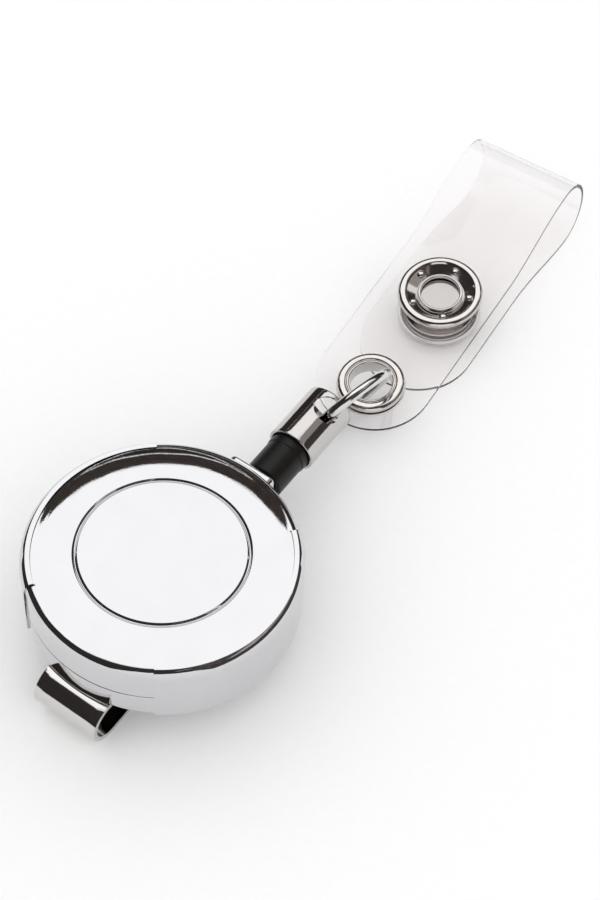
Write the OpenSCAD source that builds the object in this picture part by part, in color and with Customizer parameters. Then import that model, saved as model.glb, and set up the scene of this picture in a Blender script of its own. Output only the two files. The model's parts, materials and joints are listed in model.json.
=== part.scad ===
// Retractable badge reel: a round metal case on a spring clip, with a cord end,
// a link ring and a clear snap strap. Millimetres, +Z up, +Y towards the strap.
// The origin lies on the resting surface, under the middle of the case.

/* [Case] */
// Outside diameter of the case
case_d = 32; // [31:0.5:40]
// Height of the case from back to face
case_h = 9.2; // [8.5:0.1:12]
// Height of the rear shell's side wall
rear_h = 3.7; // [3:0.1:4.4]
// Wall of both shells
wall = 0.9; // [0.7:0.05:1.1]
// Rounding of the face's rim
face_round = 1; // [0.5:0.1:1.4]
// Rounding of the back's rim
back_round = 0.7; // [0.3:0.1:0.8]
// Radius of the ring groove in the face
groove_r = 9.95; // [7:0.05:12]
// Width of the ring groove
groove_w = 0.4; // [0.2:0.05:0.8]
// Depth of the ring groove
groove_depth = 0.25; // [0.1:0.05:0.4]
// Angle that each side band covers
band_angle = 104; // [60:1:120]
// Thickness of a side band
band_t = 0.3; // [0.2:0.05:0.6]
// Height of the side bands
band_h = 8.3; // [6:0.1:8.4]

/* [Spool] */
// Radius of the spool's hub
hub_r = 9.5; // [8:0.1:10]
// Wall of the hub
hub_wall = 0.8; // [0.6:0.1:1.2]
// Thickness of each spool flange
flange_t = 0.55; // [0.4:0.05:0.7]
// Outside radius of the wound cord
winding_r = 11.6; // [10.8:0.1:12.5]
// Radius of the centre post
post_r = 1.6; // [1.3:0.1:1.8]
// Thickness of the power spring's steel
spring_t = 0.2; // [0.1:0.05:0.3]
// Turns of the power spring
spring_turns = 7; // [4:1:8]

/* [Exit and cord] */
// Width of the exit bezel
bezel_w = 6.4; // [5.5:0.1:8]
// Height of the exit bezel
bezel_h = 5; // [4.2:0.1:5.6]
// How far the bezel stands out of the case
bezel_out = 1.3; // [0.8:0.1:2.5]
// Radius of the cord's way through the bezel
exit_bore_r = 1.5; // [1.45:0.05:1.6]
// Diameter of the cord
cord_d = 0.8; // [0.6:0.1:1]
// Diameter of the cord stop
stop_d = 5.1; // [4.4:0.1:5.4]
// Visible length of the cord stop
stop_l = 5.7; // [4:0.1:8]

/* [Ferrule and link ring] */
// Outside diameter of the ferrule
ferrule_d = 6.3; // [5.8:0.1:7]
// Length of the ferrule
ferrule_l = 8.2; // [7.5:0.1:12]
// Wall of the ferrule
ferrule_wall = 0.4; // [0.3:0.05:0.45]
// Radius of the cross hole in the ferrule
cross_r = 1.75; // [1.7:0.05:1.85]
// From the cross hole to the ferrule's far end
cross_end = 2.3; // [2.2:0.1:2.6]
// Radius of the link ring to the middle of its wire
ring_r = 5.7; // [5.5:0.05:6.2]
// Diameter of the link ring's wire
ring_wire = 1.3; // [1:0.1:1.4]

/* [Strap] */
// Width of the strap
strap_w = 15; // [13:0.5:18]
// Thickness of the strap
strap_t = 0.45; // [0.35:0.05:0.6]
// From the eyelet to the start of the loop's end
loop_start = 36.6; // [33:0.1:45]
// Radius of the loop's end
loop_r = 4.4; // [4:0.1:5.5]
// From the eyelet to the snap
snap_u = 16.2; // [15:0.1:17]
// From the eyelet to the end of the lower layer
lower_end_u = 3; // [2.5:0.1:5]
// From the eyelet to the end of the upper layer
upper_end_u = 6.4; // [6:0.1:7]
// Outside radius of the eyelet
eyelet_r = 4.3; // [4:0.05:4.6]
// Radius of the eyelet's hole
eyelet_hole_r = 2.75; // [2.6:0.05:2.9]
// Outside radius of the snap
snap_r = 5.45; // [5.2:0.05:5.9]
// Distance between the two layers at the snap
snap_gap = 2.85; // [2.8:0.05:3.2]

/* [Belt clip] */
// Width of the belt clip
clip_w = 8.8; // [7:0.1:12]
// Thickness of the clip's steel
clip_t = 0.6; // [0.4:0.05:0.8]
// How far the clip's bend centre lies behind the case's middle
clip_back = 15.4; // [13:0.1:17]
// Reach of the lower leg to the cord side
clip_reach = 11; // [8:0.1:15]
// Reach of the upper leg to the cord side
clip_seat = 8; // [6:0.1:10]

/* [Pose] */
// Height of the case's back over the surface, in the middle
case_lift = 4.77; // [4.6:0.01:6]
// Slope of the case towards the cord side
case_tilt = 4.5; // [3:0.1:5]
// Swing of the cord end, seen from above
end_swing = 0.2; // [0:0.1:2]
// Rise of the cord end
end_rise = -1; // [-3:0.1:1]
// Swing of the strap, seen from above
strap_swing = 3.4; // [3:0.1:4]
// Slope of the strap's upper layer
strap_slope = 4; // [3.5:0.1:4.5]

/* [Hidden] */
$fn = 96;

// Clearances
seat = 0.02;      // parts of one body that sit on each other
run = 0.12;       // parts that turn past each other
bearing = 0.08;   // spool on the centre post
lip_gap = 0.05;   // rear shell's lip in the front shell
spool_gap = 0.28; // spool's flanges from the exit bezel's inner flange

case_r = case_d / 2;
band_turn = -3;
inner_r = case_r - wall;
lip_r = inner_r - wall * 0.6;
band_z = 0.4;
rivet_r = 1;
rivet_head_r = 2.2;
rivet_head_h = 0.6;
post_base_h = 0.6;
washer_t = 0.3;
boss_h = 0.4;
boss_wall = 1.3;

// Exit, in the case's own frame
bezel_z = case_h / 2;
bezel_y = case_r + bezel_out;
bezel_round = 0.9;
neck_side = 0.4;
bezel_flange_t = 0.5;
bezel_flange_y = sqrt(pow(lip_r, 2) - pow(bezel_w / 2, 2)) - bezel_flange_t - seat;

// Spool, from its lower flange up, in the case's own frame
flange_r = bezel_flange_y - spool_gap;
spool_z = wall + post_base_h + run;
boss_z = case_h - wall - boss_h;
washer_z = boss_z - run - washer_t;
spool_top = washer_z - run;
cap_z = spool_top - flange_t;
floor_z = spool_z + flange_t;
bore_r = post_r + bearing;
spring_r0 = post_r + 0.7;
spring_r1 = hub_r - hub_wall - spring_t / 2 - run;

// Cord inside the case
cord_r = cord_d / 2;
lead_r = winding_r + cord_r + run;
lead_bend_y = bezel_flange_y - 0.3;

// Cord end, in the object's frame
end_gap = 0.35;
end_shift = 1.05;
end_drop = 0.3;
exit_y = bezel_y * cos(case_tilt) + bezel_z * sin(case_tilt);
exit_z = case_lift - bezel_y * sin(case_tilt) + bezel_z * cos(case_tilt);
end_y = exit_y + end_gap;
end_z = exit_z - end_drop;
end_dir = [-sin(end_swing) * cos(end_rise), cos(end_swing) * cos(end_rise), sin(end_rise)];
ferrule_bore = ferrule_d / 2 - ferrule_wall;
plug_l = 1.6;
knot_r = 1.1;
cross_y = stop_l + ferrule_l - cross_end;
cross_lean = 25;

// Link ring: its wire passes the middle of the cross hole, then the eyelet's hole
ring_in = 0.6;
ring_side = 0.6;
ring_shift = 0.5;
ring_bow = 8.6;
ring_roll = 24;
ring_span = 2 * ring_r * cos(ring_bow);
ring_start = [end_shift + ring_side, end_y, end_z] + (cross_y - ring_in) * end_dir;

// Strap, in the strap's own frame: u along it, v across it, z up
snap_low = 2;
slope = tan(strap_slope);
eyelet_z = snap_low + snap_gap / cos(strap_slope) - snap_u * slope;
eyelet_x = end_shift + 0.8;
ring_reach = [eyelet_x + ring_shift - ring_start.x, eyelet_z - ring_start.z];
eyelet_y = ring_start.y + sqrt(pow(ring_span, 2) - pow(norm(ring_reach), 2));
ring_end = [eyelet_x + ring_shift, eyelet_y, eyelet_z];
snap_v = -0.45;
fold_v = -0.7;
top_z = strap_t / 2 + 2 * loop_r;
loop_z = strap_t / 2 + loop_r;
rise_u = 22;
fall_u = 21.5;
fall_end = loop_start;
hinge_gap = 0.03;
hole_clear = 0.1;
prongs = 5;
prong_r = 0.28;
prong_ring = 3.9;

// Belt clip
clip_ro = (case_lift + clip_back * tan(case_tilt)) * cos(case_tilt) / (1 + cos(case_tilt));
clip_join = -clip_back * cos(case_tilt) - (clip_ro - case_lift) * sin(case_tilt);
rib_r = 0.9;
bend_in = 0.02;
clip_lap = 0.2;

// Smooth step from 0 to 1
function ease(t) = let (c = min(max(t, 0), 1)) c * c * (3 - 2 * c);
// Height of the upper layer's middle at u
function upper_z(u) =
    let (w = ease((u - rise_u) / (loop_start - rise_u)))
    (1 - w) * (eyelet_z + u * slope) + w * top_z;
// Height of the lower layer's middle at u
function lower_z(u) =
    let (w = ease((u - fall_u) / (fall_end - fall_u)))
    (1 - w) * (snap_low + (u - snap_u) * slope) + w * strap_t / 2;
// Unit normal at point i of a path
function normal(p, i) =
    let (a = p[max(i - 1, 0)], b = p[min(i + 1, len(p) - 1)], d = b - a) [-d.y, d.x] / norm(d);
// Outline of a strip of thickness t along a path
function strip(p, t) = concat(
    [for (i = [0 : len(p) - 1]) p[i] + normal(p, i) * t / 2],
    [for (i = [len(p) - 1 : -1 : 0]) p[i] - normal(p, i) * t / 2]
);

// Places a piece in the case's own frame: origin in the middle of its back
module on_case() {
    translate([0, 0, case_lift])
        rotate([-case_tilt, 0, 0])
            children();
}

// Places a piece on the cord end, with its axis along +Y
module on_end() {
    translate([end_shift, end_y, end_z])
        rotate([end_rise, 0, end_swing])
            children();
}

// Places a piece in the strap's own frame
module on_strap() {
    translate([eyelet_x, eyelet_y, 0])
        rotate([0, 0, 90 + strap_swing])
            children();
}

// Places a piece square to the strap at u, v and height z
module on_layer(u, v, z) {
    on_strap()
        translate([u, v, z])
            rotate([0, -strap_slope, 0])
                children();
}

// Solid of revolution between two radii and two heights
module ring(r0, r1, z0, z1) {
    rotate_extrude()
        translate([r0, z0])
            square([r1 - r0, z1 - z0]);
}

// Cylinder along +Y
module rod_y(r, y0, y1) {
    translate([0, y0, 0])
        rotate([-90, 0, 0])
            cylinder(r = r, h = y1 - y0);
}

// Rounded rectangle, w by h, with corners r
module rounded(w, h, r) {
    square([w - 2 * r, h], center = true);
    square([w, h - 2 * r], center = true);
    for (x = [-1, 1], y = [-1, 1])
        translate([x * (w / 2 - r), y * (h / 2 - r)])
            circle(r = r);
}

// Plate of the bezel's outline, between y0 and y1, in by "inset" all round
module bezel_plate(y0, y1, inset) {
    translate([0, y1, bezel_z])
        rotate([90, 0, 0])
            linear_extrude(y1 - y0)
                rounded(bezel_w - 2 * inset, bezel_h - 2 * inset, bezel_round - inset);
}

// Window for the bezel's neck in the side wall of a shell
module bezel_window() {
    bezel_plate(inner_r - 2, case_r + 1, neck_side - seat);
}

module front_shell() {
    color("silver")
        on_case()
            difference() {
                rotate_extrude() {
                    difference() {
                        union() {
                            translate([0, rear_h])
                                square([case_r, case_h - face_round - rear_h]);
                            square([case_r - face_round, case_h]);
                            translate([case_r - face_round, case_h - face_round])
                                circle(r = face_round);
                        }
                        translate([-1, -1])
                            square([inner_r + 1, case_h - wall + 1]);
                        translate([-1, -1])
                            square([case_r + 2, rear_h + seat + 1]);
                        translate([groove_r, case_h])
                            rotate(45)
                                square(groove_w / sqrt(2), center = true);
                    }
                    translate([bore_r, boss_z])
                        square([boss_wall, boss_h]);
                }
                bezel_window();
            }
}

module rear_shell() {
    color("silver")
        on_case()
            difference() {
                rotate_extrude()
                    difference() {
                        union() {
                            translate([0, back_round])
                                square([case_r, rear_h - back_round]);
                            square([case_r - back_round, rear_h]);
                            translate([case_r - back_round, back_round])
                                circle(r = back_round);
                            square([inner_r - lip_gap, rear_h + 1]);
                        }
                        translate([-1, wall])
                            square([lip_r + 1, rear_h + 2]);
                    }
                translate([0, 0, -1])
                    cylinder(r = rivet_r + seat, h = wall + 2);
                bezel_window();
            }
}

// Curved chrome band over the seam between the shells
module side_band(side) {
    color("gainsboro")
        on_case()
            rotate([0, 0, (side > 0 ? 0 : 180) - band_angle / 2 + side * band_turn])
                rotate_extrude(angle = band_angle)
                    difference() {
                        translate([case_r + seat, band_z])
                            square([band_t, band_h]);
                        translate([case_r + seat + band_t, band_z + band_h])
                            rotate(45)
                                square(band_t * 0.7, center = true);
                    }
}

module side_band_right() {
    side_band(1);
}

module side_band_left() {
    side_band(-1);
}

module exit_bezel() {
    color("silver")
        on_case()
            difference() {
                union() {
                    difference() {
                        bezel_plate(inner_r, bezel_y, 0);
                        cylinder(r = case_r + seat, h = case_h);
                    }
                    bezel_plate(bezel_flange_y, bezel_y - 0.5, neck_side);
                    bezel_plate(bezel_flange_y, bezel_flange_y + bezel_flange_t, 0.1);
                }
                translate([0, 0, bezel_z])
                    rod_y(exit_bore_r, bezel_flange_y - 1, bezel_y + 1);
            }
}

module centre_post() {
    color("darkgray")
        on_case()
            difference() {
                union() {
                    translate([0, 0, wall])
                        cylinder(r = post_r, h = case_h - 2 * wall - run);
                    translate([0, 0, wall])
                        cylinder(r = post_r + 1, h = post_base_h);
                }
                translate([0, 0, wall - 1])
                    cylinder(r = rivet_r + seat, h = 3.2);
                translate([-0.25, -post_r - 1, floor_z])
                    cube([0.5, post_r + 1, cap_z - floor_z]);
            }
}

module spool() {
    color("whitesmoke")
        on_case() {
            ring(bore_r, flange_r, spool_z, floor_z);
            ring(hub_r - hub_wall, hub_r, spool_z, cap_z - seat);
        }
}

module spool_flange() {
    color("whitesmoke")
        on_case()
            ring(bore_r, flange_r, cap_z, spool_top);
}

module thrust_washer() {
    color("goldenrod")
        on_case()
            ring(bore_r, post_r + 1.2, washer_z, washer_z + washer_t);
}

module power_spring() {
    steps = 24 * spring_turns;
    path = [for (i = [0 : steps])
        let (r = spring_r0 + (spring_r1 - spring_r0) * i / steps, a = i * 15) r * [cos(a), sin(a)]];
    color("slategray")
        on_case()
            translate([0, 0, floor_z + run])
                linear_extrude(cap_z - floor_z - 2 * run)
                    polygon(strip(path, spring_t));
}

module cord_winding() {
    color("black")
        on_case()
            ring(hub_r + seat, winding_r, floor_z + seat, cap_z - seat);
}

// The stretch between the winding and the exit, which is there at any pull
module cord_lead() {
    turn = acos(lead_r / lead_bend_y);
    start = lead_r * [sin(turn), cos(turn)];
    reach = norm(start - [0, lead_bend_y]);
    color("black")
        on_case()
            translate([0, 0, bezel_z]) {
                translate([0, lead_bend_y, 0]) {
                    rotate([0, 90, -turn])
                        cylinder(r = cord_r, h = reach);
                    sphere(r = cord_r);
                }
                rod_y(cord_r, lead_bend_y, bezel_y);
            }
}

module cord_end() {
    color("black")
        on_end() {
            rod_y(cord_r, -0.1, stop_l + plug_l + 0.4);
            translate([0, stop_l + plug_l + seat + knot_r, 0])
                sphere(r = knot_r);
        }
}

module cord_stop() {
    stop_r = stop_d / 2;
    color("#222222")
        on_end()
            rotate([-90, 0, 0])
                rotate_extrude()
                    difference() {
                        union() {
                            square([stop_r, stop_l - 1.5]);
                            square([stop_r - 0.3, stop_l]);
                            translate([0, stop_l - 1.1])
                                square([stop_r + 0.1, 1.1 - seat]);
                            square([ferrule_bore - run, stop_l + plug_l]);
                        }
                        translate([-1, -1])
                            square([cord_r + seat + 1, stop_l + plug_l + 2]);
                    }
}

module ferrule() {
    color("silver")
        on_end()
            difference() {
                rod_y(ferrule_d / 2, stop_l, stop_l + ferrule_l);
                rod_y(ferrule_bore, stop_l - 1, stop_l + ferrule_l + 1);
                translate([0, cross_y, 0])
                    rotate([0, cross_lean, 0])
                        cylinder(r = cross_r, h = 2 * ferrule_d, center = true);
            }
}

module link_ring() {
    chord = ring_end - ring_start;
    color("silver")
        translate(ring_start)
            rotate([0, -asin(chord.z / ring_span), atan2(chord.y, chord.x)])
                rotate([ring_roll, 0, 0])
                    translate([ring_span / 2, 0, ring_r * sin(ring_bow)])
                        rotate([90, 0, 0])
                            rotate_extrude()
                                translate([ring_r, 0])
                                    circle(r = ring_wire / 2);
}

module eyelet() {
    tube_r = eyelet_hole_r + 0.35;
    half = strap_t / 2;
    color("silver")
        on_layer(0, 0, eyelet_z)
            rotate_extrude() {
                translate([eyelet_hole_r, -half - 0.8])
                    square([0.35, 0.8 + strap_t + 0.6]);
                translate([tube_r - 0.1, half + seat])
                    square([eyelet_r - tube_r - 0.2, 0.5]);
                translate([eyelet_r - 0.3, half + seat + 0.3])
                    circle(r = 0.3);
                translate([tube_r - 0.05, half + seat + 0.45])
                    circle(r = 0.35);
                translate([tube_r + 0.02, -half - seat - 0.72])
                    circle(r = 0.3);
            }
}

module eyelet_washer() {
    half = strap_t / 2;
    color("gainsboro")
        on_layer(0, 0, eyelet_z)
            ring(eyelet_hole_r + 0.45, eyelet_r + 0.1, -half - seat - 0.35, -half - seat);
}

// Holes for the snap's prongs through a layer at its middle height z
module prong_holes(z) {
    translate([snap_u, snap_v, z])
        rotate([0, -strap_slope, 0])
            for (i = [0 : prongs - 1])
                rotate([0, 0, i * 360 / prongs])
                    translate([prong_ring, 0, -2])
                        cylinder(r = prong_r + hole_clear, h = 4);
}

// Outline seen from above: straight sides and a full round end about u
module strap_outline(u) {
    translate([u, 0, -5])
        cylinder(r = strap_w / 2, h = 20);
    translate([u, -strap_w / 2, -5])
        cube([loop_start + 2 * loop_r, strap_w, 20]);
}

module strap_strip(path) {
    translate([0, strap_w / 2, 0])
        rotate([90, 0, 0])
            linear_extrude(strap_w)
                polygon(strip(path, strap_t));
}

module strap_upper() {
    start = -upper_end_u - 1;
    path = concat(
        [for (i = [0 : 30]) let (u = start + (loop_start - start) * i / 30) [u, upper_z(u)]],
        [for (a = [7.5 : 7.5 : 89]) [loop_start + loop_r * sin(a), loop_z + loop_r * cos(a)]],
        [[loop_start + loop_r, loop_z + hinge_gap]]
    );
    color("lightcyan", 0.35)
        on_strap()
            difference() {
                intersection() {
                    strap_strip(path);
                    strap_outline(strap_w / 2 - upper_end_u);
                }
                translate([0, 0, eyelet_z])
                    rotate([0, -strap_slope, 0])
                        cylinder(r = eyelet_hole_r + 0.35 + hole_clear, h = 4, center = true);
                prong_holes(upper_z(snap_u));
            }
}

module strap_lower() {
    end = lower_end_u - 0.5;
    path = concat(
        [[loop_start + loop_r, loop_z - hinge_gap]],
        [for (a = [97.5 : 7.5 : 179]) [loop_start + loop_r * sin(a), loop_z + loop_r * cos(a)]],
        [for (i = [0 : 26]) let (u = loop_start + (end - loop_start) * i / 26) [u, lower_z(u)]]
    );
    color("lightcyan", 0.35)
        on_strap()
            difference() {
                translate([0, fold_v, 0])
                    intersection() {
                        strap_strip(path);
                        strap_outline(lower_end_u + strap_w / 2);
                    }
                prong_holes(lower_z(snap_u));
            }
}

module snap_prongs(z0, z1) {
    for (i = [0 : prongs - 1])
        rotate([0, 0, i * 360 / prongs])
            translate([prong_ring, 0, z0])
                cylinder(r = prong_r, h = z1 - z0);
}

// Ring snaps: heights count from the middle of the layer
module snap_cap() {
    half = strap_t / 2;
    color("silver")
        on_layer(snap_u, snap_v, upper_z(snap_u)) {
            rotate_extrude() {
                translate([2.6, half + seat])
                    square([snap_r - 0.45 - 2.6, 0.25]);
                translate([snap_r - 0.45, half + seat + 0.45])
                    circle(r = 0.45);
                translate([2.75, half + seat + 0.3])
                    circle(r = 0.22);
            }
            snap_prongs(-half - seat, half + 0.1);
        }
}

module snap_socket() {
    top = -strap_t / 2 - 2 * seat;
    color("gainsboro")
        on_layer(snap_u, snap_v, upper_z(snap_u))
            rotate_extrude() {
                translate([0, top - 0.35])
                    square([4.9, 0.35]);
                translate([2.85, top - 1.7])
                    square([0.75, 1.6]);
                translate([2.3, top - 1.7])
                    square([0.7, 0.25]);
                translate([2.3, top - 0.9])
                    square([0.7, 0.7]);
            }
}

module snap_spring() {
    top = -strap_t / 2 - 2 * seat;
    color("darkgray")
        on_layer(snap_u, snap_v, upper_z(snap_u))
            rotate_extrude()
                translate([2.6, top - 1.17])
                    circle(r = 0.17);
}

module snap_stud() {
    half = strap_t / 2;
    color("gainsboro")
        on_layer(snap_u, snap_v, snap_low)
            rotate_extrude()
                difference() {
                    union() {
                        translate([0, half + 2 * seat])
                            square([4.6, 0.35]);
                        translate([0, half + 0.3])
                            square([1.7, 1.1]);
                        translate([0, half + 0.9])
                            square([1.9, 0.45]);
                    }
                    translate([-1, half + 0.6])
                        square([2.2, 2]);
                }
}

module snap_base() {
    half = strap_t / 2;
    color("silver")
        on_layer(snap_u, snap_v, snap_low) {
            rotate_extrude() {
                translate([2.6, -half - seat - 0.25])
                    square([snap_r - 0.4 - 2.6, 0.25]);
                translate([snap_r - 0.4, -half - seat - 0.35])
                    circle(r = 0.35);
            }
            snap_prongs(-half - 0.1, half + seat);
        }
}

// Foot of the clip's lower leg, seen from above, with a round tip
module clip_plan(y0, y1) {
    translate([-clip_w / 2, y0])
        square([clip_w, y1 - y0 - clip_w / 2]);
    translate([0, y1 - clip_w / 2])
        circle(r = clip_w / 2);
}

module belt_clip() {
    color("silver") {
        difference() {
            on_case()
                translate([0, 0, -clip_t])
                    linear_extrude(clip_t)
                        clip_plan(clip_join - clip_lap, clip_seat);
            on_case()
                translate([0, 0, -clip_t - 1])
                    cylinder(r = rivet_r + seat, h = clip_t + 2);
        }
        translate([bend_in - clip_w / 2, -clip_back, clip_ro])
            rotate([0, 90, 0])
                rotate([0, 0, -180 - case_tilt])
                    rotate_extrude(angle = 180 + case_tilt)
                        translate([clip_ro - clip_t + bend_in, 0])
                            square([clip_t - 2 * bend_in, clip_w - 2 * bend_in]);
        linear_extrude(clip_t)
            clip_plan(-clip_back - clip_lap, clip_reach);
        intersection() {
            translate([0, clip_reach - clip_w / 2, clip_t - rib_r + 0.5])
                rotate([0, 90, 0])
                    cylinder(r = rib_r, h = clip_w - 2, center = true);
            translate([-clip_w, 0, clip_t / 2])
                cube([2 * clip_w, clip_reach, 2]);
        }
    }
}

module clip_rivet() {
    color("silver")
        on_case() {
            translate([0, 0, -clip_t - seat - rivet_head_h])
                cylinder(r = rivet_head_r, h = rivet_head_h);
            translate([0, 0, -clip_t - seat - 0.1])
                cylinder(r = rivet_r, h = clip_t + seat + wall + 2.1);
        }
}

front_shell();
rear_shell();
side_band_right();
side_band_left();
exit_bezel();
centre_post();
spool();
spool_flange();
thrust_washer();
power_spring();
cord_winding();
cord_lead();
cord_end();
cord_stop();
ferrule();
link_ring();
eyelet();
eyelet_washer();
strap_upper();
strap_lower();
snap_cap();
snap_socket();
snap_spring();
snap_stud();
snap_base();
belt_clip();
clip_rivet();
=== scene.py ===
import json
import math

import bpy
from mathutils import Matrix, Vector


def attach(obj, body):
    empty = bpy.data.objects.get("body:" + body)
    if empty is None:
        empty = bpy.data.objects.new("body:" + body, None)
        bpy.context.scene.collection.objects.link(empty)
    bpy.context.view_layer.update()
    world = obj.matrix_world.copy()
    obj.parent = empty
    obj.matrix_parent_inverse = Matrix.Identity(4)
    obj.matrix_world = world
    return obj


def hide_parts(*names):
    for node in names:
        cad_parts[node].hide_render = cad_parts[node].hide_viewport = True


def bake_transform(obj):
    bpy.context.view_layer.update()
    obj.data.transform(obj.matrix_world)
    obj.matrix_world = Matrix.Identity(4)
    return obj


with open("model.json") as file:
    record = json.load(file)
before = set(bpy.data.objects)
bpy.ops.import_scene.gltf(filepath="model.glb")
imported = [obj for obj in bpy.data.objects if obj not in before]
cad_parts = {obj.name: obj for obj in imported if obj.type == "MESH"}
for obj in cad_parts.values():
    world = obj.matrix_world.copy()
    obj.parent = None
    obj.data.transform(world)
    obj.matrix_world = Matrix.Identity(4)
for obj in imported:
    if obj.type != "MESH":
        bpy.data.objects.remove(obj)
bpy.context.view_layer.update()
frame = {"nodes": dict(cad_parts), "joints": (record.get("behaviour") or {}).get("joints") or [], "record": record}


# Camera
# A long lens looks down on the reel from its lower right, steeply enough to show the face of the case
# and the height of its side wall.
mm = 0.001
camera_place = Vector((82.8, -84.4, 210.6)) * mm
camera_aim = Vector((-1.05, 28.4, 0)) * mm
camera_roll = math.radians(-0.54)
bpy.ops.object.select_all(action="DESELECT")
bpy.ops.object.camera_add(location=camera_place)
camera = bpy.context.object
camera.data.lens = 80.9
camera.data.sensor_width = 36
turn = (camera_aim - camera_place).to_track_quat("-Z", "Y").to_matrix()
camera.rotation_euler = (turn @ Matrix.Rotation(camera_roll, 3, "Z")).to_euler()
bpy.context.scene.camera = camera
bpy.context.scene.view_settings.view_transform = "Standard"


# Studio
# A pale floor under an even white sky, with dark and grey cards round the object for the chrome to mirror.
# The cards stand on a wide dome, are seen only in reflections, and neither show to the camera nor cast a
# shadow. Their edges wave a little, as hand-cut cloth does, and their weave is drawn coarse enough to show.
def linear(code):
    """sRGB hex code to linear red, green, blue and alpha."""
    values = [int(code[i:i + 2], 16) / 255 for i in (1, 3, 5)]
    return [v / 12.92 if v <= 0.04045 else ((v + 0.055) / 1.055) ** 2.4 for v in values] + [1]


def add(tree, kind, links=(), out=None, **settings):
    """Adds a node. settings name its properties or inputs; links are (input, socket) pairs."""
    node = tree.nodes.new("ShaderNode" + kind)
    for name, value in settings.items():
        key = name.replace("_", " ")
        found = [s for s in node.inputs if s.name.lower() == key]
        if hasattr(node, name):
            setattr(node, name, value)
        else:
            found[0].default_value = value
    for name, socket in links:
        tree.links.new(socket, node.inputs[name])
    return node if out is None else node.outputs[out]


def new_material(name):
    """An empty material with its output node: returns both the material and its tree."""
    material = bpy.data.materials.new(name)
    material.use_nodes = True
    material.node_tree.nodes.clear()
    return material, material.node_tree


# A noise's scale is how many of its marks there are in a millimetre, here and in all that follows.
# Paper: matt, with a faint fibre in its white, drawn about 1 mm across because a real one is too fine to
# show.
floor_paint, tree = new_material("matt_white_paper")
place = add(tree, "TexCoord", out="Object")
fibres = add(tree, "TexNoise", [("Vector", place)], out="Fac", scale=0.9 / mm, detail=4)
tone = add(tree, "ValToRGB", [("Fac", fibres)], out="Color")
tone.node.color_ramp.elements[0].color = linear("#fbfbfb")
tone.node.color_ramp.elements[1].color = linear("#ffffff")
paper = add(tree, "BsdfPrincipled", [("Base Color", tone)], out="BSDF", roughness=0.8)
add(tree, "OutputMaterial", [("Surface", paper)])

bpy.ops.object.select_all(action="DESELECT")
bpy.ops.mesh.primitive_plane_add(size=4, location=(0, 0, -0.02 * mm))
floor = bpy.context.object
floor.name = "floor"
floor.data.materials.append(floor_paint)

world = bpy.data.worlds.new("white_studio")
world.use_nodes = True
world.node_tree.nodes["Background"].inputs["Color"].default_value = linear("#ffffff")
world.node_tree.nodes["Background"].inputs["Strength"].default_value = 1.03
bpy.context.scene.world = world

# Each card's name, azimuth from +Y towards +X, elevation, width and height, all in degrees as the reel sees
# it, then its sRGB grey and its glow.
cards = [
    ("soft_box", -36, 66, 62, 42, "#ffffff", 1.4),
    ("back_card_low", -36, 18.4, 112, 28.8, "#2c2826", 1.0),
    ("back_card_high", -36, 39.2, 112, 10.4, "#332e2b", 1.0),
    ("corner_card", 70, 54, 64, 30, "#8a8380", 1.0),
    ("right_card", 68, 22, 88, 30, "#3c3837", 1.0),
    ("camera_card", 137, 60, 70, 50, "#2e2b2a", 1.0),
    ("front_card", -142, 33, 96, 62, "#2b2727", 1.0),
]
card_distance = 0.8
edge_waves = ((0.010, 19, 0), (0.008, 47, 1), (0.005, 131, 2))
edge_zone = 0.4
for name, azimuth, elevation, width, height, shade, glow in cards:
    side, rise = math.radians(azimuth), math.radians(elevation)
    ray = Vector((math.sin(side) * math.cos(rise), math.cos(side) * math.cos(rise), math.sin(rise)))
    bpy.ops.object.select_all(action="DESELECT")
    bpy.ops.mesh.primitive_grid_add(x_subdivisions=160, y_subdivisions=16, size=1)
    card = bpy.context.object
    card.name = name
    upright = (-ray).to_track_quat("-Z", "Y").to_matrix().to_4x4()
    for vertex in card.data.vertices:
        swing, lift = math.radians(vertex.co.x * width), math.radians(vertex.co.y * height)
        wave = sum(depth * math.sin(vertex.co.x * pace + start) for depth, pace, start in edge_waves)
        rise_by = wave if abs(vertex.co.y) > edge_zone else 0
        vertex.co = card_distance * Vector((math.sin(swing) * math.cos(lift), math.sin(lift) + rise_by,
                                            math.cos(swing) * math.cos(lift)))
    card.data.transform(upright)
    # Lit cloth: its uneven grey breaks up what the chrome mirrors, in patches about 18 mm across.
    cloth, tree = new_material(name + "_cloth")
    place = add(tree, "TexCoord", out="Object")
    weave = add(tree, "TexNoise", [("Vector", place)], out="Fac", scale=0.055 / mm, detail=6)
    tone = add(tree, "ValToRGB", [("Fac", weave)], out="Color")
    tone.node.color_ramp.elements[0].position = 0.35
    tone.node.color_ramp.elements[1].position = 0.75
    tone.node.color_ramp.elements[0].color = linear(shade)
    tone.node.color_ramp.elements[1].color = [min(1, c * 2.4) for c in linear(shade)]
    light = add(tree, "Emission", [("Color", tone)], out="Emission", strength=glow)
    add(tree, "OutputMaterial", [("Surface", light)])
    card.data.materials.append(cloth)
    card.visible_camera = False
    card.visible_diffuse = False
    card.visible_shadow = False
    card.visible_transmission = False


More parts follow.
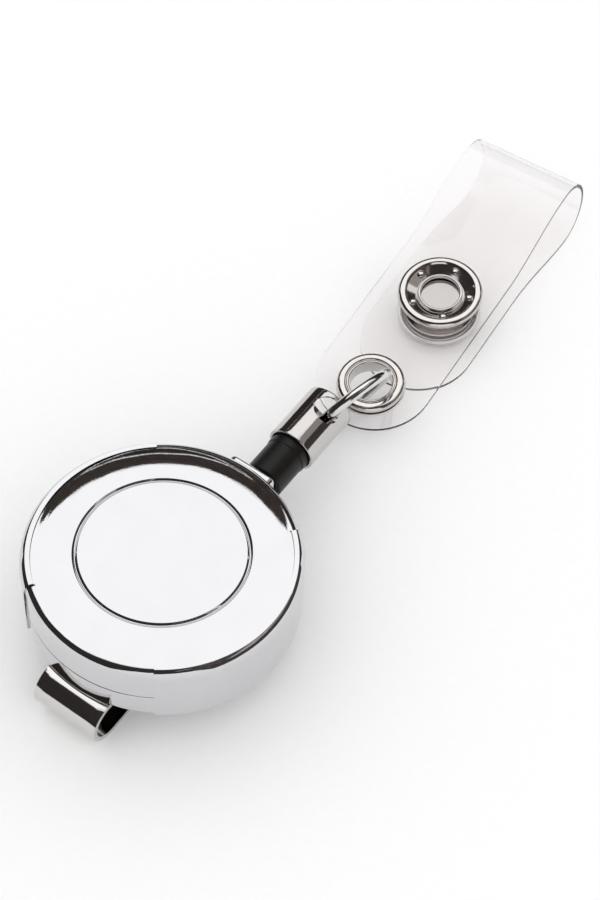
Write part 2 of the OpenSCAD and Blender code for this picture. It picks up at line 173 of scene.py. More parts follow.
# Front shell
# The deep-drawn upper half of the case, about 0.9 mm of brass sheet under bright chrome: a flat middle for a
# label, a pressed ring groove, then a face that falls slightly to a rounded rim and a straight wall.
def rounded(corners, steps=6):
    """Outline of (x, z) points from corners given as (x, z, radius)."""
    points = []
    for i, (x, z, radius) in enumerate(corners):
        here = Vector((x, z))
        if not radius:
            points.append(here)
            continue
        before = Vector(corners[i - 1][:2]) - here
        after = Vector(corners[(i + 1) % len(corners)][:2]) - here
        half = before.angle(after) / 2
        reach = radius / math.tan(half)
        middle = here + (before.normalized() + after.normalized()).normalized() * radius / math.sin(half)
        start = here + before.normalized() * reach - middle
        turned_by = start.angle_signed(here + after.normalized() * reach - middle)
        for step in range(steps + 1):
            angle = -turned_by * step / steps
            points.append(middle + Matrix.Rotation(angle, 2) @ start)
    return [(p.x, p.y) for p in points]


def apply_to(piece, *modifiers):
    """Picks out the piece and applies its modifiers in turn."""
    bpy.ops.object.select_all(action="DESELECT")
    piece.select_set(True)
    bpy.context.view_layer.objects.active = piece
    for modifier in modifiers:
        bpy.ops.object.modifier_apply(modifier=modifier)


def finish_metal(piece, angle=40):
    """Smooth shading that keeps flat faces flat."""
    apply_to(piece)
    bpy.ops.object.shade_smooth_by_angle(angle=math.radians(angle))
    piece.modifiers.new("weights", "WEIGHTED_NORMAL").keep_sharp = True
    apply_to(piece, "weights")


def lathe(name, outline, place, steps=180):
    """Turns a closed outline of (radius, height) in mm about the local Z axis and sets it in place."""
    bpy.ops.object.select_all(action="DESELECT")
    bpy.ops.mesh.primitive_circle_add(vertices=len(outline), radius=mm)
    piece = bpy.context.object
    piece.name = name
    for vertex, (radius, height) in zip(piece.data.vertices, outline):
        vertex.co = (radius * mm, 0, height * mm)
    bpy.ops.object.mode_set(mode="EDIT")
    bpy.ops.mesh.select_all(action="SELECT")
    bpy.ops.mesh.spin(steps=steps, angle=math.tau, center=(0, 0, 0), axis=(0, 0, 1))
    bpy.ops.mesh.select_all(action="SELECT")
    bpy.ops.mesh.remove_doubles(threshold=1e-7)
    bpy.ops.mesh.delete_loose()
    bpy.ops.mesh.select_all(action="SELECT")
    bpy.ops.mesh.normals_make_consistent(inside=False)
    bpy.ops.object.mode_set(mode="OBJECT")
    piece.data.transform(place)
    finish_metal(piece)
    return piece


def bright_plate(name, colour, roughness, ripple=0.0, ripple_size=6.0):
    """Bright plated metal: a mirror with smudges about 4 mm across, polishing marks drawn about 0.2 mm wide,
    coarser than real ones so that they show, and slow ripples of ripple_size mm in the sheet or wire."""
    material, tree = new_material(name)
    place = add(tree, "TexCoord", out="Object")
    smudge = add(tree, "TexNoise", [("Vector", place)], out="Fac", scale=0.26 / mm, detail=3)
    tone = add(tree, "ValToRGB", [("Fac", smudge)], out="Color")
    tone.node.color_ramp.elements[0].color = [0.93 * c for c in linear(colour)]
    tone.node.color_ramp.elements[1].color = linear(colour)
    matt = add(tree, "MapRange", [("Value", smudge)], out="Result", to_min=roughness, to_max=roughness * 1.8)
    waves = add(tree, "TexNoise", [("Vector", place)], out="Fac", scale=1 / (ripple_size * mm), detail=2)
    slow = add(tree, "Bump", [("Height", waves)], out="Normal", strength=ripple, distance=0.1 * mm)
    grain = add(tree, "TexNoise", [("Vector", place)], out="Fac", scale=5.2 / mm, detail=2)
    skin = add(tree, "Bump", [("Height", grain), ("Normal", slow)], out="Normal", strength=0.08,
               distance=0.02 * mm)
    metal = add(tree, "BsdfPrincipled", [("Base Color", tone), ("Roughness", matt), ("Normal", skin)],
                out="BSDF", metallic=1)
    add(tree, "OutputMaterial", [("Surface", metal)])
    return material


def dress(piece, material, body, slot, *nodes):
    """Gives a finished piece its material and its body, and hides the CAD nodes it stands for; slot is not used.
    """
    piece.data.materials.clear()
    piece.data.materials.append(material)
    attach(piece, body)
    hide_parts(*nodes)
    return piece


joints = {joint["name"]: joint for joint in frame["joints"]}
mounts = {mount["name"]: mount for mount in frame["record"]["mounts"]}
case_r, case_h, wall, seam, seam_gap = 16, 9.2, 0.9, 3.7, 0.07
groove_r, groove_w, groove_depth = 9.95, 0.6, 0.26
rim_round, rim_fall = 1.25, 0.4
case_axis = Vector(joints["spool_spin"]["axis"])
case_tilt = math.atan2(case_axis.y, case_axis.z)
face_place = Vector(mounts["label_face"]["pos_m"])
case_place = Matrix.Translation(face_place - case_axis * case_h * mm) @ Matrix.Rotation(-case_tilt, 4, "X")
# Bright chrome on pressed brass: a cool mirror, with slow ripples left in the sheet by the drawing.
case_chrome = bright_plate("chrome_plated_pressing", "#d6d6d8", 0.03, ripple=0.13)

# The crown falls with the cube of its way out, so the label's place stays flat.
crown_steps = 14
crown_start = groove_r + groove_w / 2 + 0.1
crown = [(crown_start + (case_r - rim_round * 0.62 - crown_start) * t,
          case_h - rim_fall * t ** 3) for t in [i / crown_steps for i in range(crown_steps)]]
groove = rounded([(0, case_h, 0), (groove_r - groove_w / 2, case_h, 0.1),
                  (groove_r, case_h - groove_depth, 0.16), (groove_r + groove_w / 2, case_h, 0.1),
                  (crown_start, case_h, 0)], 4)
rim = rounded([(crown[-1][0], crown[-1][1], 0), (case_r, case_h - rim_fall, rim_round * 0.8),
               (case_r, seam + seam_gap, 0.1), (case_r - wall, seam + seam_gap, 0),
               (case_r - wall, case_h - wall, 0.3), (0, case_h - wall, 0)], 10)
front = lathe("face_shell", groove + crown[1:-1] + rim, case_place, 240)
dress(front, case_chrome, "case", "case_chrome", "front_shell")


# Rear shell
# The shallow lower half of the case, pressed from the same sheet. Its lip stands up inside the front shell,
# and a hair line shows between the two edges.
back_round, lip_h = 0.7, 0.9
lip_out, lip_in = case_r - wall - 0.05, case_r - wall * 1.6
rear = lathe("back_shell", rounded([
    (0, 0, 0), (case_r, 0, back_round), (case_r, seam, 0.1), (lip_out, seam, 0),
    (lip_out, seam + lip_h, 0.1), (lip_in, seam + lip_h, 0.1), (lip_in, wall, 0.2),
    (0, wall, 0)], 8), case_place, 240)
dress(rear, case_chrome, "case", "case_chrome", "rear_shell")


# Side bands
# Two curved strips of bright plated sheet, one on each flank, wrap the seam between the shells. Each is
# pressed on and stands a little proud of the wall, with a rolled upper edge.
band_low, band_t = 0.4, 0.24
band_angle, band_turn = 104, -3
rim_r = rim_round * 0.8
band_outline = rounded([(case_r - 0.1, band_low, 0), (case_r + band_t, band_low, 0.1),
                        (case_r + band_t, case_h - rim_fall + band_t, rim_r + band_t),
                        (case_r - rim_r * 0.52, case_h - rim_fall + band_t - 0.02, 0.06),
                        (case_r - rim_r * 0.54, case_h - rim_fall - 0.12, 0),
                        (case_r - 0.1, case_h - rim_fall - rim_r, 0)], 8)
for name, node, middle in (("band_right", "side_band_right", band_turn),
                           ("band_left", "side_band_left", 180 - band_turn)):
    bpy.ops.object.select_all(action="DESELECT")
    bpy.ops.mesh.primitive_circle_add(vertices=len(band_outline), radius=mm, fill_type="NGON")
    band = bpy.context.object
    band.name = name
    turned = Matrix.Rotation(math.radians(middle + band_angle / 2), 4, "Z")
    for vertex, (radius, height) in zip(band.data.vertices, band_outline):
        vertex.co = turned @ Vector((radius * mm, 0, height * mm))
    bpy.ops.object.mode_set(mode="EDIT")
    bpy.ops.mesh.select_mode(type="FACE")
    bpy.ops.mesh.select_all(action="SELECT")
    bpy.ops.mesh.duplicate()
    bpy.ops.mesh.spin(steps=104, angle=math.radians(band_angle), center=(0, 0, 0), axis=(0, 0, 1))
    bpy.ops.mesh.select_all(action="SELECT")
    bpy.ops.mesh.remove_doubles(threshold=1e-7)
    bpy.ops.mesh.normals_make_consistent(inside=False)
    bpy.ops.object.mode_set(mode="OBJECT")
    edge = band.modifiers.new("edge", "BEVEL")
    edge.width, edge.segments, edge.limit_method, edge.angle_limit = 0.07 * mm, 3, "ANGLE", math.radians(60)
    apply_to(band, "edge")
    band.data.transform(case_place)
    finish_metal(band)
    dress(band, case_chrome, "case", "case_chrome", node)


# Exit bezel
# A die-cast and plated guide, clamped between the shells, with a rounded oblong front. The cord runs through
# the bore in its middle, and the stop rests against it.
bezel_w, bezel_h, bezel_out, bezel_round = 6.4, 5.0, 1.3, 0.9
bezel_back, bezel_front, bore = 13.75, case_r + bezel_out, 1.5


def cut_away(piece, tool):
    """Cuts the tool out of the piece and takes the tool away."""
    cut = piece.modifiers.new("cut", "BOOLEAN")
    cut.object, cut.solver, cut.operation = tool, "EXACT", "DIFFERENCE"
    apply_to(piece, "cut")
    bpy.data.objects.remove(tool)


bpy.ops.object.select_all(action="DESELECT")
bpy.ops.mesh.primitive_cube_add(size=1)
bezel = bpy.context.object
bezel.name = "bezel"
for vertex in bezel.data.vertices:
    x, y, z = vertex.co
    vertex.co = Vector((x * bezel_w, bezel_back + (y + 0.5) * (bezel_front - bezel_back),
                        z * bezel_h + case_h / 2)) * mm
corners = bezel.data.vertices
long_edges = [line.index for line in bezel.data.edges
              if abs(corners[line.vertices[0]].co.y - corners[line.vertices[1]].co.y) > mm]
bpy.ops.object.mode_set(mode="EDIT")
bpy.ops.mesh.select_mode(type="EDGE")
bpy.ops.mesh.select_all(action="DESELECT")
bpy.ops.object.mode_set(mode="OBJECT")
for index in long_edges:
    bezel.data.edges[index].select = True
bpy.ops.object.mode_set(mode="EDIT")
bpy.ops.mesh.bevel(offset=bezel_round * mm, segments=8, affect="EDGES")
bpy.ops.mesh.select_mode(type="FACE")
bpy.ops.mesh.select_all(action="DESELECT")
bpy.ops.object.mode_set(mode="OBJECT")
for face in bezel.data.polygons:
    face.select = face.normal.y > 0.9
bpy.ops.object.mode_set(mode="EDIT")
bpy.ops.mesh.bevel(offset=0.4 * mm, segments=6, affect="EDGES")
bpy.ops.object.mode_set(mode="OBJECT")
bpy.ops.object.select_all(action="DESELECT")
bpy.ops.mesh.primitive_cylinder_add(vertices=64, radius=bore * mm, depth=20 * mm,
                                    rotation=(math.pi / 2, 0, 0),
                                    location=Vector((0, bezel_front, case_h / 2)) * mm)
drill = bpy.context.object
cut_away(bezel, drill)
bezel.data.transform(case_place)
finish_metal(bezel, 50)
dress(bezel, case_chrome, "case", "case_chrome", "exit_bezel")


# Belt clip
# One strip of nickel-plated spring steel, bent over behind the case: the upper leg is riveted to the back of
# the case and the lower leg springs against it, with a round tip and a pressed grip rib.
clip_w, clip_t = 8.8, 0.6
rib_h, rib_y, rib_w = 0.35, 6.6, 0.7
clip_back, clip_reach, clip_seat = 15.4, 11, 8
lift = case_place.translation.z / mm
bend_r = (lift + clip_back * math.tan(case_tilt)) * math.cos(case_tilt) / (1 + math.cos(case_tilt))
tip_r = clip_w / 2
forward = case_place.to_3x3() @ Vector((0, 1, 0))
bend_end = Vector((0, -clip_back + bend_r * math.sin(case_tilt), bend_r * (1 + math.cos(case_tilt))))
rows = []
for step in range(13):
    swing = math.pi / 2 * (1 - step / 12)
    rows.append((Vector((0, clip_reach - tip_r + tip_r * math.sin(swing), 0)), tip_r * math.cos(swing)))
for y in (4, 2, 0, -4, -8, -12):
    rows.append((Vector((0, y, 0)), tip_r))
for step in range(33):
    swing = (math.pi + case_tilt) * step / 32
    rows.append((Vector((0, -clip_back - bend_r * math.sin(swing), bend_r * (1 - math.cos(swing)))), tip_r))
upper_leg = (Vector((0, 0, lift)) + forward * clip_seat - bend_end).length
for share in (0.25, 0.5, 0.75):
    rows.append((bend_end + forward * (upper_leg - tip_r) * share, tip_r))
for step in range(13):
    swing = math.pi / 2 * step / 12
    rows.append((bend_end + forward * (upper_leg - tip_r + tip_r * math.sin(swing)), tip_r * math.cos(swing)))
columns = 9
bpy.ops.object.select_all(action="DESELECT")
bpy.ops.mesh.primitive_grid_add(x_subdivisions=columns - 1, y_subdivisions=len(rows) - 1, size=1)
clip = bpy.context.object
clip.name = "clip"
for i, vertex in enumerate(clip.data.vertices):
    middle, half = rows[i // columns]
    across = (i % columns) / (columns - 1) * 2 - 1
    rib = rib_h * math.exp(-((middle.y - rib_y) / rib_w) ** 2) if middle.z < 0.01 else 0
    rib *= max(0, 1 - across ** 4)
    vertex.co = (middle + Vector((across * max(half, 1e-4), 0, rib))) * mm
bpy.ops.object.mode_set(mode="EDIT")
bpy.ops.mesh.select_all(action="SELECT")
bpy.ops.mesh.remove_doubles(threshold=1e-6)
bpy.ops.mesh.normals_make_consistent(inside=False)
bpy.ops.object.mode_set(mode="OBJECT")
lowest = min(clip.data.polygons, key=lambda face: (round(face.center.z, 6), abs(face.center.y)))
if lowest.normal.z > 0:
    clip.data.flip_normals()
thick = clip.modifiers.new("sheet", "SOLIDIFY")
thick.thickness, thick.offset, thick.use_even_offset = clip_t * mm, -1, True
edge = clip.modifiers.new("edge", "BEVEL")
edge.width, edge.segments, edge.limit_method, edge.angle_limit = 0.12 * mm, 3, "ANGLE", math.radians(50)
apply_to(clip, "sheet", "edge")
finish_metal(clip)
# Nickel over rolled steel: a warmer, slightly duller mirror than the chrome, with the strip's faint ripple.
clip_nickel = bright_plate("nickel_plated_spring_steel", "#d8d6d3", 0.05, ripple=0.05)
dress(clip, clip_nickel, "case", "clip_nickel", "belt_clip")


# Clip rivet
# A tubular rivet with a domed head under the clip's upper leg. It goes up through the back of the case into
# the centre post.
rivet = lathe("rivet", rounded([
    (0, -1.24, 0), (1.3, -1.24, 0.3), (2.2, -0.95, 0.15), (2.2, -0.62, 0.05), (1.0, -0.62, 0),
    (1.0, 3.0, 0.1), (0, 3.0, 0)], 5), case_place, 64)
dress(rivet, clip_nickel, "case", "clip_nickel", "clip_rivet")


# Cord stop
# A black bead moulded in nylon, with a fine collar where the ferrule begins. The cord is knotted inside it,
# and its flat back rests against the bezel when the reel is wound in.
stop_d, stop_l, plug_l = 5.1, 5.7, 1.6
end_dir = Vector(joints["ferrule_swivel"]["axis"])
ferrule_start = Vector(joints["ferrule_swivel"]["pos_m"])
end_origin = ferrule_start - end_dir * stop_l * mm
end_place = Matrix.Translation(end_origin) @ end_dir.to_track_quat("Z", "Y").to_matrix().to_4x4()
bore_r = 2.75
cord_hole, collar_r, plug_r = 0.42, stop_d / 2 + 0.1, bore_r - 0.12
stop = lathe("stop", rounded([
    (cord_hole, 0, 0.1), (stop_d / 2, 0, 0.3), (stop_d / 2, stop_l - 1.15, 0.04),
    (collar_r, stop_l - 1.1, 0.04), (collar_r, stop_l - 0.02, 0.05),
    (plug_r, stop_l - 0.02, 0), (plug_r, stop_l + plug_l, 0.2),
    (cord_hole, stop_l + plug_l, 0.1)], 5), end_place, 128)
# Nylon moulded in a fine matt tool: near black, satin, with a mottle about 1.5 mm across and a sparkle of
# about 0.2 mm from the tool's texture.
nylon, tree = new_material("moulded_black_nylon")
place = add(tree, "TexCoord", out="Object")
mottle = add(tree, "TexNoise", [("Vector", place)], out="Fac", scale=0.7 / mm, detail=4)
tone = add(tree, "ValToRGB", [("Fac", mottle)], out="Color")
tone.node.color_ramp.elements[0].color = linear("#0d0b0a")
tone.node.color_ramp.elements[1].color = linear("#191614")
spark = add(tree, "TexNoise", [("Vector", place)], out="Fac", scale=6 / mm, detail=2)
skin = add(tree, "Bump", [("Height", spark)], out="Normal", strength=0.25, distance=0.02 * mm)
matt = add(tree, "MapRange", [("Value", mottle)], out="Result", to_min=0.32, to_max=0.46)
plastic = add(tree, "BsdfPrincipled", [("Base Color", tone), ("Roughness", matt), ("Normal", skin)],
              out="BSDF", ior=1.5, specular_ior_level=0.28)
add(tree, "OutputMaterial", [("Surface", plastic)])
dress(stop, nylon, "cord_end", "stop_plastic", "cord_stop")


# Cord
# A braided nylon cord, 0.8 mm thick. Wound in, only a hair of it shows between the bezel and the stop; as the
# reel is pulled it is drawn out straight between the two. The winding, the lead inside the case and the
# knotted end share its braid.
cord_r = 0.4
cord_in, cord_out = 4.0, 1.0
bpy.ops.object.select_all(action="DESELECT")
bpy.ops.mesh.primitive_grid_add(x_subdivisions=24, y_subdivisions=160, size=1)
cord = bpy.context.object
cord.name = "cord_run"
for vertex in cord.data.vertices:
    along = -cord_in + (vertex.co.y + 0.5) * (cord_in + cord_out)
    around = (vertex.co.x + 0.5) * math.tau
    strand = cord_r - 0.03 + 0.03 * math.sin(along * 9 + 4 * around) * math.sin(along * 9 - 4 * around)
    vertex.co = Vector((math.cos(around) * strand, math.sin(around) * strand, along)) * mm
bpy.ops.object.mode_set(mode="EDIT")
bpy.ops.mesh.select_all(action="SELECT")
bpy.ops.mesh.remove_doubles(threshold=1e-7)
bpy.ops.mesh.select_mode(type="VERT")
bpy.ops.mesh.select_all(action="DESELECT")
bpy.ops.mesh.select_non_manifold()
bpy.ops.mesh.edge_face_add()
bpy.ops.mesh.select_all(action="SELECT")
bpy.ops.mesh.normals_make_consistent(inside=False)
bpy.ops.object.mode_set(mode="OBJECT")
cord.data.transform(end_place)
bpy.ops.object.shade_smooth_by_angle(angle=math.radians(60))
# Braided nylon: dull black strands that cross every 0.7 mm, streaked about 0.4 mm apart, with a soft bloom of
# loose filaments.
braid, tree = new_material("braided_black_nylon_cord")
place = add(tree, "TexCoord", out="Object")
left = add(tree, "TexWave", [("Vector", place)], out="Fac", bands_direction="DIAGONAL", scale=0.9 / mm,
           distortion=2)
fuzz = add(tree, "TexNoise", [("Vector", place)], out="Fac", scale=5 / mm, detail=4)
both = add(tree, "Math", [(0, left), (1, fuzz)], out="Value", operation="MULTIPLY")
tone = add(tree, "ValToRGB", [("Fac", both)], out="Color")
tone.node.color_ramp.elements[0].color = linear("#0f0e0e")
tone.node.color_ramp.elements[1].color = linear("#383635")
skin = add(tree, "Bump", [("Height", both)], out="Normal", strength=0.6, distance=0.05 * mm)
yarn = add(tree, "BsdfPrincipled", [("Base Color", tone), ("Normal", skin)], out="BSDF", roughness=0.7,
           sheen_weight=0.3)
add(tree, "OutputMaterial", [("Surface", yarn)])
cord.data.materials.append(braid)
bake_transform(cord)
for name in ("cord_winding", "cord_lead", "cord_end"):
    frame["nodes"][name].data.materials.clear()
    frame["nodes"][name].data.materials.append(braid)


# Ferrule
# A length of chrome-plated brass tube pressed over the stop's spigot, its open end rolled in a little. A hole
# is drilled across it for the link ring, and the drilled edge is broken.
ferrule_d, ferrule_l, ferrule_wall = 6.3, 8.2, 0.4
cross_r, cross_back = 1.75, 2.3
ferrule = lathe("ferrule_tube", rounded([
    (ferrule_d / 2 - ferrule_wall, stop_l, 0.1), (ferrule_d / 2, stop_l, 0.14)]
    + [(ferrule_d / 2, stop_l + 0.3 * step, 0) for step in range(2, 26)]
    + [(ferrule_d / 2, stop_l + ferrule_l, 0.3), (ferrule_d / 2 - ferrule_wall, stop_l + ferrule_l, 0.08)]
    + [(ferrule_d / 2 - ferrule_wall, stop_l + 0.3 * step, 0) for step in range(25, 1, -1)], 6),
    Matrix.Identity(4), 128)
bpy.ops.object.select_all(action="DESELECT")
bpy.ops.mesh.primitive_cylinder_add(vertices=96, radius=cross_r * mm, depth=12 * mm,
                                    location=(0, 0, (stop_l + ferrule_l - cross_back) * mm))
drill = bpy.context.object
cross_axis = Vector(joints["ring_swing"]["axis"])
drill.rotation_euler = (end_place.to_3x3().inverted() @ cross_axis).to_track_quat("Z", "Y").to_euler()
cut_away(ferrule, drill)
ferrule.data.transform(end_place)
finish_metal(ferrule, 45)
# Chrome on drawn tube: a slightly grey mirror, rippled every 3 mm or so where the tube was pressed on.
ferrule_chrome = bright_plate("chrome_plated_tube", "#c9c6c4", 0.05, ripple=0.1, ripple_size=3)
dress(ferrule, ferrule_chrome, "ferrule", "ferrule_chrome", "ferrule")


# Link ring
# A ring of 1.3 mm chrome-plated wire, closed and soldered, through the cross hole and the strap's eyelet.
ring_r, ring_wire = 5.7, 1.3
ring_centre = Vector(joints["strap_swing"]["pos_m"])
ring_axis = Vector(joints["strap_swing"]["axis"])
bpy.ops.object.select_all(action="DESELECT")
bpy.ops.mesh.primitive_torus_add(major_segments=192, minor_segments=40, major_radius=ring_r * mm,
                                 minor_radius=ring_wire / 2 * mm)
ring = bpy.context.object
ring.name = "wire_ring"
ring.data.transform(Matrix.Translation(ring_centre) @ ring_axis.to_track_quat("Z", "Y").to_matrix().to_4x4())
bpy.ops.object.shade_smooth()
# Chrome on drawn wire: a clean mirror with a short, faint ripple.
ring_chrome = bright_plate("chrome_plated_wire", "#dddcdc", 0.05, ripple=0.06, ripple_size=2)
dress(ring, ring_chrome, "link_ring", "ring_chrome", "link_ring")


# Strap
# One strip of clear flexible PVC, 15 mm wide and 0.45 mm thick with round ends, folded over so that the snap
# joins its two layers. The upper layer rises from the eyelet to the crest of the fold.
strap_w, strap_t, hole_r = 15, 0.45, 3.2
loop_start, loop_r = 36.6, 4.4
upper_end, lower_end, fold_shift = 6.4, 3.0, -0.7
eyelet_spot = Vector((1.85, 39.55, 3.724))
snap_u, snap_v, snap_low = 16.2, -0.45, 2.0
slope = math.radians(4)
strap_axis = Vector(joints["snap_open"]["axis"])
strap_place = Matrix.Translation(Vector((eyelet_spot.x, eyelet_spot.y, 0)) * mm) @ Matrix.Rotation(
    math.atan2(strap_axis.x, -strap_axis.y), 4, "Z")
loop_z = strap_t / 2 + loop_r


def ease(t):
    t = min(max(t, 0), 1)
    return t * t * (3 - 2 * t)


def upper_z(u):
    w = ease((u - 22) / (loop_start - 22))
    return (1 - w) * (eyelet_spot.z + u * math.tan(slope)) + w * (loop_z + loop_r)


def lower_z(u):
    w = ease((u - 21.5) / (loop_start - 21.5))
    return (1 - w) * (snap_low + (u - snap_u) * math.tan(slope)) + w * strap_t / 2


half_w = strap_w / 2
rows = []
for step in range(17):
    swing = math.pi / 2 * step / 16
    u = half_w - upper_end - half_w * math.cos(swing)
    rows.append((u, upper_z(u), half_w * math.sin(swing), 0))
for step in range(1, 61):
    u = half_w - upper_end + (loop_start - half_w + upper_end) * step / 60
    rows.append((u, upper_z(u), half_w, 0))
for step in range(1, 49):
    swing = math.pi * step / 48
    rows.append((loop_start + loop_r * math.sin(swing), loop_z + loop_r * math.cos(swing), half_w,
                 fold_shift * ease(step / 48)))
for step in range(1, 49):
    u = loop_start + (half_w + lower_end - loop_start) * step / 48
    rows.append((u, lower_z(u), half_w, fold_shift))
for step in range(15, -1, -1):
    swing = math.pi / 2 * step / 16
    u = half_w + lower_end - half_w * math.cos(swing)
    rows.append((u, lower_z(u), half_w * math.sin(swing), fold_shift))
columns = 31
bpy.ops.object.select_all(action="DESELECT")
bpy.ops.mesh.primitive_grid_add(x_subdivisions=columns - 1, y_subdivisions=len(rows) - 1, size=1)
strap = bpy.context.object
strap.name = "strap"
for i, vertex in enumerate(strap.data.vertices):
    u, z, half, shift = rows[i // columns]
    across = math.sin(((i % columns) / (columns - 1) - 0.5) * math.pi * 0.9) / math.sin(math.pi * 0.45)
    vertex.co = Vector((u, across * max(half, 1e-4) + shift, z)) * mm
bpy.ops.object.mode_set(mode="EDIT")
bpy.ops.mesh.select_all(action="SELECT")
bpy.ops.mesh.remove_doubles(threshold=1e-6)
bpy.ops.mesh.normals_make_consistent(inside=False)
bpy.ops.object.mode_set(mode="OBJECT")
thick = strap.modifiers.new("sheet", "SOLIDIFY")
thick.thickness, thick.offset, thick.use_even_offset = strap_t * mm, 0, True
edge = strap.modifiers.new("edge", "BEVEL")
edge.width, edge.segments, edge.limit_method, edge.angle_limit = 0.08 * mm, 3, "ANGLE", math.radians(50)
apply_to(strap, "sheet", "edge")
bpy.ops.object.select_all(action="DESELECT")
bpy.ops.mesh.primitive_cylinder_add(vertices=96, radius=hole_r * mm, depth=2 * mm,
                                    location=(0, 0, eyelet_spot.z * mm), rotation=(0, -slope, 0))
punch = bpy.context.object
cut_away(strap, punch)
strap.data.transform(strap_place)
bpy.ops.object.shade_smooth_by_angle(angle=math.radians(35))

# Calendered PVC: clear and glossy, with slow ripples about 6 mm apart and a faint haze in patches of about
# 8 mm. Soft light passes straight through it, so that it leaves hardly a shadow.
vinyl, tree = new_material("clear_flexible_pvc")
place = add(tree, "TexCoord", out="Object")
cloud = add(tree, "TexNoise", [("Vector", place)], out="Fac", scale=0.12 / mm, detail=3)
tone = add(tree, "ValToRGB", [("Fac", cloud)], out="Color")
tone.node.color_ramp.elements[0].color = linear("#f8f6f6")
tone.node.color_ramp.elements[1].color = linear("#ffffff")
waves = add(tree, "TexNoise", [("Vector", place)], out="Fac", scale=0.16 / mm, detail=2)
skin = add(tree, "Bump", [("Height", waves)], out="Normal", strength=0.12, distance=0.1 * mm)
matt = add(tree, "MapRange", [("Value", cloud)], out="Result", to_min=0.02, to_max=0.07)
film = add(tree, "BsdfPrincipled", [("Base Color", tone), ("Roughness", matt), ("Normal", skin)], out="BSDF",
           ior=1.47, transmission_weight=1)
ray = add(tree, "LightPath")
soft_ray = add(tree, "Math", [(0, ray.outputs["Is Diffuse Ray"]), (1, ray.outputs["Is Shadow Ray"])],
               out="Value", operation="MAXIMUM")
through = add(tree, "BsdfTransparent", out="BSDF")
through.node.inputs["Color"].default_value = linear("#fcfbfb")
mixed = add(tree, "MixShader", [(0, soft_ray), (1, film), (2, through)], out="Shader")
add(tree, "OutputMaterial", [("Surface", mixed)])
strap.data.materials.append(vinyl)
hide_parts("strap_upper", "strap_lower")
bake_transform(strap)


# Eyelet
# A rolled brass eyelet under bright nickel, set through the upper layer: a rolled inner lip, a groove and a
# turned-down flange. A plain washer lies under the vinyl, and the tube's end is curled out over it.
def on_layer(u, v, z):
    """Place square to the strap's layers at u along it, v across it and height z."""
    return strap_place @ Matrix.Translation(Vector((u, v, z)) * mm) @ Matrix.Rotation(-slope, 4, "Y")


# Bright nickel on stamped brass: warmer and duller than the chrome, and rippled by the dies.
snap_nickel = bright_plate("bright_nickel_plated_brass", "#d6d2cf", 0.07, ripple=0.15, ripple_size=1.5)
face = strap_t / 2 + 0.02
eyelet_place = on_layer(0, 0, eyelet_spot.z)
eyelet = lathe("eyelet_barrel", rounded([
    (2.75, -face - 1.02, 0.28), (2.75, face + 0.8, 0.18), (3.06, face + 0.8, 0.14), (3.14, face + 0.5, 0.08),
    (3.24, face + 0.86, 0.28), (4.3, face + 0.86, 0.56), (4.3, face, 0.16),
    (3.1, face, 0), (3.1, -face - 0.42, 0), (3.42, -face - 0.42, 0.15), (3.42, -face - 1.02, 0.28)], 6),
    eyelet_place, 128)
dress(eyelet, snap_nickel, "strap", "snap_nickel", "eyelet")
washer = lathe("eyelet_back", rounded([
    (3.2, -face - 0.35, 0.05), (4.4, -face - 0.35, 0.12), (4.4, -face, 0.12), (3.2, -face, 0.05)], 4),
    eyelet_place, 128)
dress(washer, snap_nickel, "strap", "snap_nickel", "eyelet_washer")


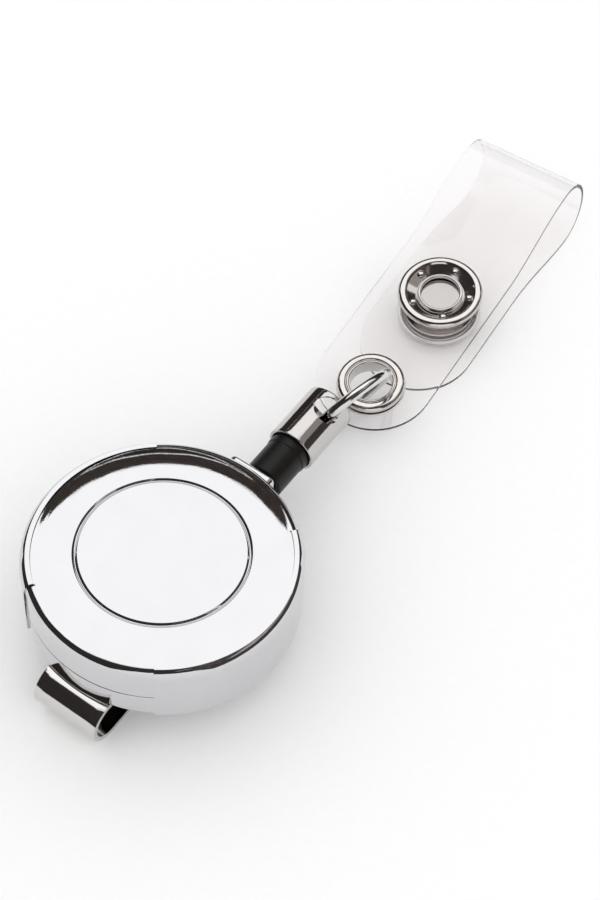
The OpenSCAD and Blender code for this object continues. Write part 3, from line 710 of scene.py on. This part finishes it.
# Snap
# A ring snap of nickel-plated brass. The cap is an open ring with a rolled outer bead and five prongs, which
# go down through the vinyl and clench the socket; the lower layer holds the stud between its own two rings.
snap_place = on_layer(snap_u, snap_v, upper_z(snap_u))
cap = lathe("snap_ring", rounded([
    (2.5, face, 0.08), (2.5, face + 0.5, 0.16), (2.84, face + 0.5, 0.16), (2.94, face + 0.04, 0.08),
    (4.26, face + 0.7, 0.12), (4.5, face + 0.98, 0.34), (5.45, face + 0.98, 0.56), (5.45, face, 0.34)], 8),
    snap_place, 160)
lobes = []
for i in range(5):
    bpy.ops.object.select_all(action="DESELECT")
    bpy.ops.mesh.primitive_uv_sphere_add(segments=32, ring_count=16, radius=mm)
    lobe = bpy.context.object
    turned = math.tau * i / 5
    lobe.data.transform(snap_place @ Matrix.Rotation(turned, 4, "Z") @ Matrix.Translation(
        Vector((3.8, 0, face + 0.42)) * mm) @ Matrix.Diagonal((0.56, 0.56, 0.36, 1)))
    bpy.ops.object.shade_smooth()
    lobes.append(lobe)
bpy.ops.object.select_all(action="DESELECT")
for lobe in lobes:
    lobe.select_set(True)
cap.select_set(True)
bpy.context.view_layer.objects.active = cap
bpy.ops.object.join()
dress(cap, snap_nickel, "strap", "snap_nickel", "snap_cap")
for name in ("snap_socket", "snap_spring", "snap_stud", "snap_base"):
    frame["nodes"][name].data.materials.clear()
    frame["nodes"][name].data.materials.append(snap_nickel)


# Works
# What lies hidden in the case: a steel axle, a moulded spool with its loose flange, a brass thrust washer and
# the blued steel power spring. Each has the plain finish of its making, with faint marks about 1 mm across.
works = {
    "centre_post": ("turned_steel_axle", "#b9b7b4", 0.25, 1),
    "power_spring": ("blued_spring_steel", "#5b6270", 0.3, 1),
    "thrust_washer": ("brass_washer", "#c9a45c", 0.3, 1),
    "spool": ("acetal_moulding", "#dcd8ce", 0.45, 0),
    "spool_flange": ("acetal_moulding", "#dcd8ce", 0.45, 0),
}
for node, (name, colour, roughness, metallic) in works.items():
    made = bpy.data.materials.get(name)
    if made is None:
        made, tree = new_material(name)
        place = add(tree, "TexCoord", out="Object")
        marks = add(tree, "TexNoise", [("Vector", place)], out="Fac", scale=0.9 / mm, detail=3)
        tone = add(tree, "ValToRGB", [("Fac", marks)], out="Color")
        tone.node.color_ramp.elements[0].color = [0.85 * c for c in linear(colour)]
        tone.node.color_ramp.elements[1].color = linear(colour)
        matt = add(tree, "MapRange", [("Value", marks)], out="Result", to_min=roughness,
                   to_max=roughness * 1.4)
        stuff = add(tree, "BsdfPrincipled", [("Base Color", tone), ("Roughness", matt)], out="BSDF",
                    metallic=metallic)
        add(tree, "OutputMaterial", [("Surface", stuff)])
    frame["nodes"][node].data.materials.clear()
    frame["nodes"][node].data.materials.append(made)
